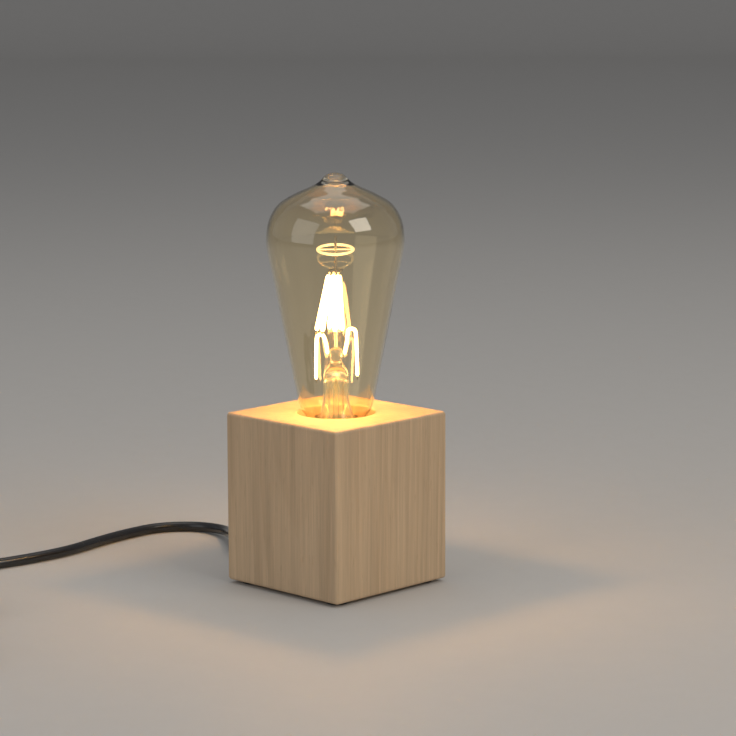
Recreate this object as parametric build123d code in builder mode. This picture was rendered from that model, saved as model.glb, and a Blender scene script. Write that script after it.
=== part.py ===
from build123d import *
from math import cos, pi, radians, sin, tan
import os

# Filament light bulb standing in the lampholder of a wooden cube lamp base.
# Millimetres, +Z up, origin on the floor at the centre of the cube.

os.makedirs("parts", exist_ok=True)

# ---- wooden cube ----
block_side = 73.0
foot_height = 1.5
block_top = 81.4
block_edge = 1.6
top_hole_r = 18.2
upper_bore_r = 21.5
lower_bore_r = 27.0
ledge_z = 20.0
top_wall_z = 71.5
plate_r = 31.0
plate_thick = 2.0
plate_z = 2.0
plate_screw_ring = 28.9
cord_z = 12.0
cord_hole_r = 4.6
half_side = block_side / 2

# ---- lampholder ----
shell_r = 19.0
shell_wall = 1.6
shell_top = 70.5
boss_r = 8.0
nipple_r = 5.0
nipple_bore_r = 3.4
bracket_thick = 2.0
bracket_width = 15.0
bracket_length = 52.0
bracket_screw_x = 23.6
core_z = 37.0
core_top = 46.0
core_r = 17.3
sleeve_r = 13.45
sleeve_wall = 0.5
sleeve_top = 69.0
plunger_r = 2.6
plunger_travel = 1.2
terminal_x = 10.0

# ---- bulb ----
contact_z = 48.0
cap_bottom = 50.6
cap_top = 73.0
thread_pitch = 3.62
crest_r = 13.05
root_r = 12.25
collar_bottom = 72.4
collar_top = 77.2
collar_r = 13.9
neck_r = 11.6
glass_wall = 0.9
glass_bottom = 66.0
bulb_max_r = 32.0
bulb_top = 193.2
stem_r = 6.0
stem_wall = 0.9
stem_bottom = 74.0
flare_top = 88.0
stem_shoulder_z = 100.0
pinch_top = 112.0
filament_r = 1.0
hub_z = 148.0

# ---- cord ----
cord_r = 2.5
exit_x = -58.0
floor_z = 2.6
coil_center = (-101.25, -182.0)
coil_inner_turn = 21.0
coil_outer_turn = 39.75
coil_bottom = 0.7
coil_height = 10.0
tail_turn = 38.5
tail_z = 8.2
relief_length = 21.5
plug_length = 36.0
plug_width = 35.3
plug_thick = 13.8
pin_r = 2.0
pin_length = 19.0
pin_spacing = 18.6


def keep(piece, name):
    """Name a finished piece and write it as its own file."""
    piece.part.label = name
    export_step(piece.part, f"parts/{name}.step")


def corner_radii(points):
    """The largest arc that each corner of a route has room for."""
    radii = []
    for before, here, after in zip(points, points[1:], points[2:]):
        first = Vector(*here) - Vector(*before)
        second = Vector(*after) - Vector(*here)
        half_turn = radians(first.get_angle(second)) / 2
        radii.append(0.45 * min(first.length, second.length) / tan(half_turn))
    return radii


def route_line(points):
    """Straight runs joined by tangent arcs."""
    with BuildLine() as line:
        if len(points) == 2:
            Line(*points)
        else:
            FilletPolyline(*points, radius=corner_radii(points))
    return line.line


def bar(points, radius):
    """A round bar, wire or cable that follows a route."""
    path = route_line(points)
    with BuildPart() as made:
        with BuildSketch(Plane(origin=path @ 0, z_dir=path % 0)):
            Circle(radius)
        sweep(path=path)
    return made


def ring(outer, inner, low, high, edge=0.0):
    """A round ring or disc on the vertical axis."""
    with BuildPart() as made:
        with BuildSketch(Plane.XY.offset(low)):
            Circle(outer)
            if inner > 0:
                Circle(inner, mode=Mode.SUBTRACT)
        extrude(amount=high - low)
        if edge > 0:
            chamfer(made.edges().filter_by(GeomType.CIRCLE).group_by(SortBy.RADIUS)[-1], edge)
    return made


def turned(outline):
    """A solid of revolution from (radius, height) points."""
    with BuildPart() as made:
        with BuildSketch(Plane.XZ):
            with BuildLine():
                Polyline(*outline, close=True)
            make_face()
        revolve(axis=Axis.Z)
    return made


def small_block(size, place, edge=0.0):
    """A small block at a place, its top edges eased."""
    with BuildPart() as made:
        with Locations(place):
            Box(*size)
        if edge > 0:
            chamfer(made.edges().group_by(Axis.Z)[-1], edge)
    return made


def dome_outline(height, rim_r):
    """Points of a quarter ellipse, from the rim of a dome towards its top."""
    steps = 5
    return [(rim_r * cos(radians(90 * i / steps)), height * sin(radians(90 * i / steps)))
            for i in range(steps)]


def pan_screw(place, length, radius, head_r, head_height, up=True, slot=0.6):
    """A cross-slotted screw as one solid, placed by its head's seat, its shank pointing up or down."""
    dome = [(x, -y) for x, y in dome_outline(head_height, head_r)]
    outline = [(0, length), (radius * 0.4, length), (radius, length - radius)]
    outline += [(radius, 0)] + dome + [(0, -head_height)]
    with BuildPart() as made:
        with BuildSketch(Plane.XZ):
            with BuildLine():
                Polyline(*outline, close=True)
            make_face()
        revolve(axis=Axis.Z)
        with Locations((0, 0, -head_height)):
            Box(head_r * 1.6, slot, head_height, mode=Mode.SUBTRACT)
            Box(slot, head_r * 1.6, head_height, mode=Mode.SUBTRACT)
    return made.part.moved(Location(place, (0 if up else 180, 0, 0)))


def keep_group(solids, name):
    """Write several equal solids as one node."""
    with BuildPart() as made:
        for solid in solids:
            add(solid)
    keep(made, name)


# ================= wooden cube =================
with BuildPart() as wooden_block:
    with BuildSketch(Plane.XY.offset(foot_height)):
        Rectangle(block_side, block_side)
    extrude(amount=block_top - foot_height)
    fillet(wooden_block.edges(), block_edge)
    with BuildSketch(Plane.XY.offset(foot_height)):
        Circle(plate_r + 0.3)
    extrude(amount=plate_z + plate_thick - foot_height, mode=Mode.SUBTRACT)
    with BuildSketch(Plane.XY.offset(foot_height)):
        Circle(lower_bore_r)
    extrude(amount=ledge_z - foot_height, mode=Mode.SUBTRACT)
    with BuildSketch(Plane.XY.offset(ledge_z)):
        Circle(upper_bore_r)
    extrude(amount=top_wall_z - ledge_z, mode=Mode.SUBTRACT)
    with BuildSketch(Plane.XY.offset(top_wall_z)):
        Circle(top_hole_r)
    extrude(amount=block_top - top_wall_z, mode=Mode.SUBTRACT)
    rim = wooden_block.edges().filter_by(GeomType.CIRCLE).sort_by(Axis.Z)[-1]
    chamfer(rim, 0.5)
    with BuildSketch(Plane.YZ.offset(-half_side)):
        with Locations((0, cord_z)):
            Circle(cord_hole_r)
    extrude(amount=half_side - lower_bore_r + 3, mode=Mode.SUBTRACT)
    with BuildSketch(Plane.XY.offset(plate_z + plate_thick)):
        with PolarLocations(plate_screw_ring, 4, start_angle=45):
            Circle(1.2)
    extrude(amount=9.5, mode=Mode.SUBTRACT)
    with BuildSketch(Plane.XY.offset(ledge_z)):
        with Locations((-bracket_screw_x, 0), (bracket_screw_x, 0)):
            Circle(1.2)
    extrude(amount=8.5, mode=Mode.SUBTRACT)
keep(wooden_block, "wooden_block")

# ---- base plate with its screws and feet ----
with BuildPart() as base_plate:
    with BuildSketch(Plane.XY.offset(plate_z)):
        Circle(plate_r)
        with PolarLocations(plate_screw_ring, 4, start_angle=45):
            Circle(1.7, mode=Mode.SUBTRACT)
    extrude(amount=plate_thick)
    with BuildSketch(Plane.XY.offset(plate_z)):
        with PolarLocations(12, 6):
            SlotOverall(9, 2.2, mode=Mode.ADD)
    extrude(amount=plate_thick, mode=Mode.SUBTRACT)
keep(base_plate, "base_plate")

plate_screws = []
for quarter in range(4):
    bearing = radians(45 + 90 * quarter)
    spot = (plate_screw_ring * cos(bearing), plate_screw_ring * sin(bearing), plate_z)
    plate_screws.append(pan_screw(spot, 10, 1.2, 2.0, 0.5, slot=0.4))
keep_group(plate_screws, "base_plate_screws")

foot_r = 5.0
foot_place = half_side - 8.5
with BuildPart() as rubber_feet:
    with BuildSketch():
        with GridLocations(2 * foot_place, 2 * foot_place, 2, 2):
            Circle(foot_r)
    extrude(amount=foot_height)
    chamfer(rubber_feet.edges().group_by(Axis.Z)[0], 0.3)
keep(rubber_feet, "rubber_feet")

# ================= lampholder =================
with BuildPart() as holder_bracket:
    with BuildSketch(Plane.XY.offset(ledge_z - bracket_thick)):
        SlotOverall(bracket_length, bracket_width)
        Circle(nipple_r + 0.05, mode=Mode.SUBTRACT)
        with Locations((-bracket_screw_x, 0), (bracket_screw_x, 0)):
            Circle(1.6, mode=Mode.SUBTRACT)
    extrude(amount=bracket_thick)
keep(holder_bracket, "holder_bracket")

bracket_screws = []
for side in (-1, 1):
    spot = (side * bracket_screw_x, 0, ledge_z - bracket_thick)
    bracket_screws.append(pan_screw(spot, 9, 1.2, 2.6, 1.6))
keep_group(bracket_screws, "bracket_screws")

keep(ring(nipple_r, nipple_bore_r, 12.6, 27.2, 0.4), "threaded_nipple")
keep(ring(8.0, nipple_r + 0.05, 17.0, ledge_z - bracket_thick), "nipple_washer")

with BuildPart() as lock_nut:
    with BuildSketch(Plane.XY.offset(14.0)):
        RegularPolygon(8.1, 6)
        Circle(nipple_r + 0.05, mode=Mode.SUBTRACT)
    extrude(amount=3.0)
    chamfer(lock_nut.faces().sort_by(Axis.Z)[0].edges().filter_by(GeomType.LINE), 0.4)
keep(lock_nut, "lock_nut")

shell_neck_z = 26.0
shell_shoulder_z = 30.4
shell_inner_r = shell_r - shell_wall
core_ledge_r = 15.2
holder_shell = turned([
    (nipple_r + 0.05, ledge_z),
    (boss_r, ledge_z),
    (boss_r, shell_neck_z),
    (shell_r, shell_shoulder_z),
    (shell_r, shell_top - 0.8),
    (shell_r - 0.8, shell_top),
    (shell_inner_r, shell_top),
    (shell_inner_r, core_z),
    (core_ledge_r, core_z),
    (core_ledge_r, core_z - 2.0),
    (shell_inner_r, core_z - 4.0),
    (shell_inner_r, shell_shoulder_z + 1.2),
    (boss_r - 1.2, shell_neck_z + 1.5),
    (nipple_r + 0.05, shell_neck_z + 1.5),
])
keep(holder_shell, "holder_shell")

# the insulating core stands on a ledge of the shell and has a well for the contact spring
with BuildPart() as holder_core:
    with BuildSketch(Plane.XY.offset(core_z)):
        Circle(core_r)
    extrude(amount=core_top - core_z)
    with BuildSketch(Plane.XY.offset(core_top)):
        Circle(plunger_r + 0.35)
    extrude(amount=-6.5, mode=Mode.SUBTRACT)
    with BuildSketch(Plane.XY.offset(core_z)):
        with Locations((-terminal_x, 0), (terminal_x, 0)):
            Rectangle(6.4, 8.4)
    extrude(amount=3.0, mode=Mode.SUBTRACT)
    chamfer(holder_core.edges().filter_by(GeomType.CIRCLE).group_by(SortBy.RADIUS)[-1], 0.5)
keep(holder_core, "holder_core")

holder_sleeve = turned([
    (11.5, core_top),
    (16.0, core_top),
    (16.0, core_top + 0.6),
    (sleeve_r + sleeve_wall, core_top + 0.6),
    (sleeve_r + sleeve_wall, sleeve_top),
    (sleeve_r, sleeve_top),
    (sleeve_r, core_top + 0.6),
    (11.5, core_top + 0.6),
])
keep(holder_sleeve, "holder_thread_sleeve")

# insulating skirt ring that closes the shell's mouth round the sleeve
skirt_ring = turned([
    (sleeve_r + sleeve_wall + 0.05, shell_top - 4.0),
    (shell_r - shell_wall - 0.05, shell_top - 4.0),
    (shell_r - shell_wall - 0.05, shell_top),
    (15.6, shell_top),
    (sleeve_r + sleeve_wall + 0.05, shell_top - 1.2),
])
keep(skirt_ring, "holder_skirt_ring")

plunger_top = contact_z - 0.1
plunger_flange_z = 45.0
contact_plunger = turned([
    (0, plunger_flange_z - 1.0),
    (plunger_r, plunger_flange_z - 1.0),
    (plunger_r, plunger_flange_z),
    (plunger_r - 0.5, plunger_flange_z + 0.3),
    (plunger_r - 0.5, plunger_top - 0.8),
    (plunger_r - 1.2, plunger_top - 0.15),
    (0, plunger_top),
])
keep(contact_plunger, "contact_plunger")

# the spring's outer shape, a closed sleeve below the plunger
spring_bottom = core_top - 6.5
keep(ring(2.3, 1.5, spring_bottom, plunger_flange_z - 1.0), "contact_spring")

terminal_screws = []
for side, name in ((-1, "live"), (1, "neutral")):
    x = side * terminal_x
    with BuildPart() as terminal:
        with Locations((x, 0, 36.1)):
            Box(6.0, 8.0, 7.4)
        with BuildSketch(Plane.XY.offset(32.4)):
            with Locations((x, -1.0)):
                Circle(1.25)
        extrude(amount=5.0, mode=Mode.SUBTRACT)
        with BuildSketch(Plane.XZ.offset(4.0)):
            with Locations((x, 34.6)):
                Circle(1.0)
        extrude(amount=-3.9, mode=Mode.SUBTRACT)
    keep(terminal, f"terminal_{name}")
    driver = pan_screw((0, 0, 0), 2.4, 0.95, 1.8, 0.9, slot=0.4)
    terminal_screws.append(driver.moved(Location((x, -4.0, 34.6), (-90, 0, 0))))
keep_group(terminal_screws, "terminal_screws")

# ================= supply cord inside the cube =================
clamp_x = -18.5
cord_end_x = -11.0
butt_gap = 0.6
keep(bar([(exit_x + butt_gap, 0, cord_z), (cord_end_x, 0, cord_z)], cord_r), "cord_inner")

with BuildPart() as cord_clamp:
    with BuildSketch(Plane.YZ.offset(clamp_x - 4)):
        with BuildLine():
            Polyline((-9, 4), (9, 4), (9, 9), (4.6, 9), (4.6, 16.2), (-4.6, 16.2), (-4.6, 9), (-9, 9),
                     close=True)
        make_face()
        with Locations((0, cord_z)):
            Circle(cord_r, mode=Mode.SUBTRACT)
    extrude(amount=8)
    with BuildSketch(Plane.XY.offset(9)):
        with Locations((clamp_x, -6.8), (clamp_x, 6.8)):
            Circle(1.1)
    extrude(amount=-5, mode=Mode.SUBTRACT)
keep(cord_clamp, "cord_clamp")

clamp_screws = []
for side in (-1, 1):
    clamp_screws.append(pan_screw((clamp_x, side * 6.8, 9.0), 4.8, 1.0, 1.8, 1.2, up=False, slot=0.4))
keep_group(clamp_screws, "cord_clamp_screws")

for side, name in ((-1, "live"), (1, "neutral")):
    inner_wire = bar([
        (cord_end_x + butt_gap, side * 1.25, cord_z - 0.4),
        (-7.0, side * 1.25, 9.6),
        (-1.0, side * 1.3, 8.8),
        (side * 0.5, side * 1.25, 15.0),
        (side * 1.4, side * 0.9, 22.0),
        (side * 2.0, 0.3, 28.0),
        (side * 5.6, -0.5, 30.4),
        (side * 9.4, -0.9, 30.9),
        (side * terminal_x, -1.0, 34.0),
    ], 0.9)
    keep(inner_wire, f"wire_{name}")

# tapered gland that holds the cord in the wall of the cube, turned about the cord's axis
with BuildPart() as cord_gland:
    with BuildSketch(Plane.XZ):
        with BuildLine():
            Polyline(
                (exit_x, cord_z + cord_r + 0.05),
                (exit_x, cord_z + 3.4),
                (-half_side - 2.4, cord_z + 4.7),
                (-half_side - 2.2, cord_z + 7.0),
                (-half_side - 0.05, cord_z + 7.0),
                (-half_side - 0.05, cord_z + 4.5),
                (-lower_bore_r + 0.9, cord_z + 4.5),
                (-lower_bore_r + 2.4, cord_z + cord_r + 0.05),
                close=True,
            )
        make_face()
    revolve(axis=Axis((0, 0, cord_z), (1, 0, 0)))
keep(cord_gland, "cord_gland")

# ================= supply cord on the floor =================
coil_x, coil_y = coil_center
lead_x = coil_x - coil_outer_turn
lead_route = [
    (exit_x, 0, cord_z),
    (-72, 2.5, 10.5),
    (-89, 14, 6.4),
    (-107, 27, 3.6),
    (-127, 26, floor_z),
    (-139.5, 10.5, floor_z),
    (-140, -10, floor_z),
    (-137, -32, floor_z),
    (-132, -54, floor_z),
    (-133, -80, floor_z),
    (-138.5, -107, floor_z),
    (lead_x, -137, floor_z),
    (lead_x, -165, floor_z),
]
cord_lead = bar(lead_route, cord_r)
keep(cord_lead, "cord_lead")
print("cord radii", [round(r, 1) for r in corner_radii(lead_route)])
lead_length = sum(edge.length for edge in route_line(lead_route).edges())
print("lead length", round(lead_length, 1), "by volume", round(cord_lead.part.volume / (pi * cord_r**2), 1))

coil_in = coil_inner_turn - cord_r
coil_out = coil_outer_turn + cord_r
with BuildPart() as cord_coil:
    with BuildSketch(Plane.XY.offset(coil_bottom)):
        with Locations(coil_center):
            Circle(coil_out)
            Circle(coil_in, mode=Mode.SUBTRACT)
    extrude(amount=coil_height)
    fillet(cord_coil.edges().filter_by(GeomType.CIRCLE), cord_r * 0.9)
keep(cord_coil, "cord_coil")

# strap round the bundle of turns
tie_thick = 0.6
tie_width = 6.0
tie_bearing = 35.0
tie_middle = (coil_in + coil_out) / 2 - 0.12
tie_span = coil_out - coil_in + 2 * tie_thick + 0.5
tie_plane = Plane(
    origin=(coil_x + tie_middle * cos(radians(tie_bearing)), coil_y + tie_middle * sin(radians(tie_bearing)),
            coil_bottom + coil_height / 2),
    x_dir=(cos(radians(tie_bearing)), sin(radians(tie_bearing)), 0),
    z_dir=(sin(radians(tie_bearing)), -cos(radians(tie_bearing)), 0),
)
with BuildPart() as cord_tie:
    with BuildSketch(tie_plane):
        RectangleRounded(tie_span, coil_height + 2 * tie_thick, 1.5)
        RectangleRounded(tie_span - 2 * tie_thick, coil_height, 1.2, mode=Mode.SUBTRACT)
    extrude(amount=tie_width / 2, both=True)
keep(cord_tie, "cord_tie")

# ---- tail and plug ----
plug_y = coil_y - tail_turn
plug_z = plug_thick / 2 + 0.3
tail_start = coil_x + 19.5
relief_x = -74.0
plug_back = relief_x + relief_length
plug_front = plug_back + plug_length
keep(bar([(tail_start, plug_y, tail_z), (relief_x - 0.3, plug_y, plug_z)], cord_r), "cord_tail")

with BuildPart() as plug_relief:
    with BuildSketch(Plane.YZ.offset(relief_x)):
        with Locations((plug_y, plug_z)):
            Circle(3.3)
    with BuildSketch(Plane.YZ.offset(plug_back)):
        with Locations((plug_y, plug_z)):
            Circle(5.0)
    loft()
keep(plug_relief, "plug_strain_relief")

with BuildPart() as plug_body:
    with BuildSketch(Plane.XY.offset(plug_z - plug_thick / 2)):
        with BuildLine():
            Polyline(
                (plug_back, plug_y - 6.5),
                (plug_back + 9, plug_y - 8.5),
                (plug_back + 20, plug_y - plug_width / 2 + 1.5),
                (plug_front, plug_y - plug_width / 2),
                (plug_front, plug_y + plug_width / 2),
                (plug_back + 20, plug_y + plug_width / 2 - 1.5),
                (plug_back + 9, plug_y + 8.5),
                (plug_back, plug_y + 6.5),
                close=True,
            )
        make_face()
    extrude(amount=plug_thick)
    fillet(plug_body.edges().filter_by(Axis.Z), 2.5)
    fillet(plug_body.edges().group_by(Axis.Z)[-1] + plug_body.edges().group_by(Axis.Z)[0], 1.8)
keep(plug_body, "plug_body")

pin_places = [(plug_y - pin_spacing / 2, plug_z), (plug_y + pin_spacing / 2, plug_z)]
sleeve_length = 10.0
with BuildPart() as plug_pins:
    with BuildSketch(Plane.YZ.offset(plug_front)):
        with Locations(*pin_places):
            Circle(pin_r - 0.35)
    extrude(amount=sleeve_length)
    with BuildSketch(Plane.YZ.offset(plug_front + sleeve_length)):
        with Locations(*pin_places):
            Circle(pin_r)
    extrude(amount=pin_length - sleeve_length)
    fillet(plug_pins.edges().filter_by(GeomType.CIRCLE).group_by(Axis.X)[-1], 1.4)
keep(plug_pins, "plug_pins")

with BuildPart() as pin_sleeves:
    with BuildSketch(Plane.YZ.offset(plug_front)):
        with Locations(*pin_places):
            Circle(pin_r)
            Circle(pin_r - 0.35, mode=Mode.SUBTRACT)
    extrude(amount=sleeve_length)
keep(pin_sleeves, "plug_pin_sleeves")

# ================= bulb: screw cap =================
def cap_wave(offset):
    """Heights and radii of the rolled screw shell, one crest for each pitch."""
    first = cap_bottom + 2.4
    count = 10
    return [((crest_r if i % 2 else root_r) - offset, first + i * thread_pitch / 2) for i in range(count)]


cap_metal = 0.3
with BuildPart() as cap_shell:
    with BuildSketch(Plane.XZ):
        with BuildLine():
            outer_wave = Spline(*cap_wave(0))
            inner_wave = Spline(*cap_wave(cap_metal))
            Polyline(outer_wave @ 0, (root_r - 0.6, cap_bottom), (root_r - 0.6 - cap_metal, cap_bottom),
                     inner_wave @ 0)
            Polyline(outer_wave @ 1, (crest_r, cap_top), (crest_r - cap_metal, cap_top), inner_wave @ 1)
        make_face()
    revolve(axis=Axis.Z)
keep(cap_shell, "cap_shell")

cap_insulator = turned([
    (5.2, contact_z + 0.7),
    (6.2, contact_z + 0.7),
    (11.3, cap_bottom - 0.1),
    (11.3, cap_bottom + 0.9),
    (2.0, cap_bottom + 0.9),
    (2.0, contact_z + 1.3),
    (5.2, contact_z + 1.3),
])
keep(cap_insulator, "cap_insulator")

cap_contact = turned([
    (0, contact_z),
    (3.4, contact_z),
    (4.9, contact_z + 0.4),
    (4.9, contact_z + 1.2),
    (1.2, contact_z + 1.2),
    (1.2, cap_bottom + 1.2),
    (0, cap_bottom + 1.2),
])
keep(cap_contact, "cap_contact")

neck_collar = turned([
    (crest_r + 0.15, collar_bottom),
    (collar_r - 0.4, collar_bottom),
    (collar_r, collar_bottom + 0.4),
    (collar_r, collar_top - 0.4),
    (collar_r - 0.3, collar_top),
    (crest_r + 0.15, collar_top),
    (neck_r + 0.5, collar_top - 2.0),
    (neck_r + 0.5, cap_top + 0.15),
    (crest_r + 0.15, cap_top + 0.15),
])
keep(neck_collar, "neck_collar")

# ---- driver board in the cap ----
board_z = 58.7
with BuildPart() as driver_board:
    with Locations((0, 0, board_z)):
        Box(18.0, 1.2, 12.8)
    with Locations((0, 0, board_z + 5.0)):
        Box(4.0, 1.2, 3.0, mode=Mode.SUBTRACT)
keep(driver_board, "driver_board")
keep(small_block((8.4, 1.6, 7.0), (-3.6, -1.45, board_z - 1.0), 0.3), "radio_module")
keep(small_block((5.0, 2.2, 3.6), (5.2, -1.75, board_z - 3.2), 0.3), "bridge_rectifier")

with BuildPart() as smoothing_capacitor:
    with BuildSketch(Plane.XY.offset(board_z - 5.6)):
        with Locations((-4.2, 4.0)):
            Circle(3.1)
    extrude(amount=9.0)
    fillet(smoothing_capacitor.edges(), 0.5)
keep(smoothing_capacitor, "smoothing_capacitor")

with BuildPart() as inductor:
    with BuildSketch(Plane.XZ.offset(-0.7)):
        with Locations((4.4, board_z - 2.0)):
            Circle(2.7)
    extrude(amount=-3.6)
    with BuildSketch(Plane.XZ.offset(-1.5)):
        with Locations((4.4, board_z - 2.0)):
            Circle(2.8)
            Circle(2.2, mode=Mode.SUBTRACT)
    extrude(amount=-2.0, mode=Mode.SUBTRACT)
keep(inductor, "inductor")

keep(bar([(5.2, -1.9, board_z + 0.8), (5.2, -1.9, board_z + 5.6)], 1.1), "fusible_resistor")

with BuildPart() as antenna:
    with Locations((-3.6, -0.75, board_z + 4.4)):
        Box(8.0, 0.3, 2.4)
keep(antenna, "radio_antenna")

# ================= bulb: glass =================
glass_points = [
    (neck_r, 73.6),
    (11.9, 75.6),
    (13.0, 77.7),
    (14.9, 80.3),
    (16.7, 83.4),
    (18.0, 88.6),
    (20.9, 103.0),
    (25.3, 125.6),
    (28.1, 140.6),
    (31.3, 155.6),
    (bulb_max_r, 163.2),
    (30.6, 171.4),
    (26.4, 178.4),
    (19.5, 182.9),
    (12.4, 186.2),
    (7.9, 188.6),
    (4.2, 192.0),
    (1.6, 193.05),
    (0, bulb_top),
]


def inside_of(points, wall):
    """The same outline moved inwards by the wall, square to the line through each point's neighbours."""
    moved = [(points[0][0] - wall, points[0][1])]
    for before, here, after in zip(points, points[1:], points[2:]):
        along = Vector(after[0] - before[0], after[1] - before[1]).normalized()
        moved.append((here[0] - wall * along.Y, here[1] + wall * along.X))
    moved.append((0, points[-1][1] - wall))
    return moved


with BuildPart() as glass_envelope:
    with BuildSketch(Plane.XZ):
        with BuildLine():
            skin = Spline(*glass_points)
            lining = Spline(*inside_of(glass_points, glass_wall))
            Polyline(skin @ 0, (neck_r, glass_bottom), (neck_r - glass_wall, glass_bottom), lining @ 0)
            Line(skin @ 1, lining @ 1)
        make_face()
    revolve(axis=Axis.Z)
keep(glass_envelope, "glass_envelope")

flare_r = neck_r - glass_wall - 0.1
stem_bore = stem_r - stem_wall
with BuildPart() as glass_stem:
    with BuildSketch(Plane.XZ):
        with BuildLine():
            flare_skin = Spline((flare_r, stem_bottom + 0.2), (8.6, 79.0), (stem_r, flare_top),
                                tangents=[(-1, 0.6), (0, 1)])
            Line((stem_r, flare_top), (stem_r, stem_shoulder_z))
            shoulder = Spline((stem_r, stem_shoulder_z), (4.9, 102.0), (3.0, 104.0), (2.4, 106.4), (2.9, 109.6),
                              (0, pinch_top), tangents=[(0, 1), (-1, 0)])
            Polyline((0, pinch_top), (0, stem_shoulder_z + 0.4))
            roof = Spline((0, stem_shoulder_z + 0.4), (3.6, 99.8), (stem_bore, 97.6), tangents=[(1, 0), (0, -1)])
            Line((stem_bore, 97.6), (stem_bore, flare_top))
            flare_lining = Spline((stem_bore, flare_top), (7.6, 79.0), (flare_r - 0.7, stem_bottom),
                                  tangents=[(0, -1), (1, -0.6)])
            Line((flare_r - 0.7, stem_bottom), (flare_r, stem_bottom + 0.2))
        make_face()
    revolve(axis=Axis.Z)
keep(glass_stem, "glass_stem")

keep(ring(1.5, 0.9, 66.8, 99.0), "exhaust_tube")

# ---- leads and filaments ----
view_side = 44.0


def around(radius, height, bearing):
    """A place on a circle round the bulb's axis."""
    return (radius * cos(radians(bearing)), radius * sin(radians(bearing)), height)


for name, bearing in (("left", view_side + 180), ("right", view_side)):
    lead = bar([around(3.2, 65.8, bearing), around(3.3, 74.0, bearing), around(3.2, 96.2, bearing)], 0.35)
    keep(lead, f"stem_lead_{name}")

rod_r = 0.6
rod_top = 164.0
hub_r = 3.4
hub_half = 0.4
keep(bar([(0, 0, pinch_top + 0.02), (0, 0, rod_top)], rod_r), "support_rod")
keep(ring(hub_r, rod_r + 0.02, hub_z - hub_half, hub_z + hub_half), "filament_hub")


def beside(across, away, height):
    """A place in the bulb from its distances across and away from the viewed side."""
    turn = radians(view_side)
    return (across * cos(turn) - away * sin(turn), across * sin(turn) + away * cos(turn), height)


# six filaments lean on the hub like the poles of a tent, most of them to one side
pole_foot_z = 118.5
pole_feet = [(-9.2, -1.0), (-6.4, -4.2), (-3.2, 4.0), (-0.4, -4.6), (1.4, 4.4), (3.1, -0.9)]
pole_tops = [(-2.9, 0.2), (-1.8, -2.0), (-0.9, 2.0), (0.3, -2.3), (1.3, 2.2), (1.7, -0.3)]
for number, (foot, top) in enumerate(zip(pole_feet, pole_tops)):
    pole = bar([beside(*foot, pole_foot_z), beside(*top, hub_z - 0.7)], filament_r)
    keep(pole, f"filament_{number + 1}")

# two more filaments rise from the pinch, turn over and hang down beside the stem
loop_r = 0.75
left_loop = [(-3.7, 1.4, 107.0), (-4.6, 2.2, 113.0), (-6.0, 2.6, 117.0), (-8.0, 2.6, 117.2), (-9.1, 2.2, 114.0),
             (-9.3, 1.0, 95.0)]
right_loop = [(3.7, 1.4, 107.0), (5.2, 2.2, 115.0), (5.8, 2.6, 119.6), (8.6, 2.6, 119.8), (9.4, 2.2, 115.5),
              (10.0, 1.0, 96.5)]
for name, route in (("left", left_loop), ("right", right_loop)):
    keep(bar([beside(*place) for place in route], loop_r), f"filament_loop_{name}")

# near its top the rod carries a wire hoop on two short arms, its near side bent down a little
hoop_z = 157.6
hoop_r = 8.3
hoop_wire = 0.6
hoop_arm = 0.35
hoop_tilt = 9.0
hoop_seam = 37.0
tilted = Location((0, 0, 0), (hoop_tilt, 0, 0)) * Location((0, 0, 0), (0, 0, hoop_seam))
with BuildPart() as wire_hoop:
    with Locations(Location((0, 0, hoop_z), (0, 0, view_side)) * tilted):
        Torus(hoop_r, hoop_wire)
    for side in (-1, 1):
        add(bar([beside(side * (rod_r + 0.02), 0, hoop_z), beside(side * hoop_r, 0, hoop_z)], hoop_arm).part)
keep(wire_hoop, "wire_hoop")
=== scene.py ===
import math

import bpy
import numpy as np
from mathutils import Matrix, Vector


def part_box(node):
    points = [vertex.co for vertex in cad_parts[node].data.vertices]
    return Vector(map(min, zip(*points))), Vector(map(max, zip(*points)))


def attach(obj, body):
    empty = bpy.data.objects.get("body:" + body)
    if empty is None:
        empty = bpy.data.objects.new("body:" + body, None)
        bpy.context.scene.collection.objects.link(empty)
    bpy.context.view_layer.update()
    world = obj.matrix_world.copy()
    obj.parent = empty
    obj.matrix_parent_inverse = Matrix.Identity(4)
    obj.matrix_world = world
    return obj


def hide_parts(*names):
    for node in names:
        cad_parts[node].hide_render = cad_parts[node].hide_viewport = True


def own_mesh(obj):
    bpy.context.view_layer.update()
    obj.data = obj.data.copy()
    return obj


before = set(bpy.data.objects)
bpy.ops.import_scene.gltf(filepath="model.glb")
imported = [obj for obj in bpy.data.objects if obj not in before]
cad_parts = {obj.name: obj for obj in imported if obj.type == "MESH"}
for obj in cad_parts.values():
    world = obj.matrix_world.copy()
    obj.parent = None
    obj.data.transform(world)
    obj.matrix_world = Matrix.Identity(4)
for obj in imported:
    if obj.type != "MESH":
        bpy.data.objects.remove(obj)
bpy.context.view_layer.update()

bl_info = {
    "name": "Cube lamp with filament bulb",
    "version": (1, 0, 0),
    "blender": (4, 5, 0),
    "location": "View3D > Sidebar > Cube lamp",
    "description": "Finishes a wooden cube lamp and its filament bulb on a fixed frame",
    "category": "Object",
}

MM = 0.001
TAU = 2 * math.pi

VIEW_SIDE = 44.0
FILAMENT_POWER = 45.0
CAMERA_TURN = 44.45
CAMERA_RISE = 9.57
CAMERA_ROLL = -0.2
CAMERA_DISTANCE = 1.285
CAMERA_LENS = 135.1
CAMERA_TARGET = (10.70, 10.33, 102.02)
BEAD_SPACING = 0.0013

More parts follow.
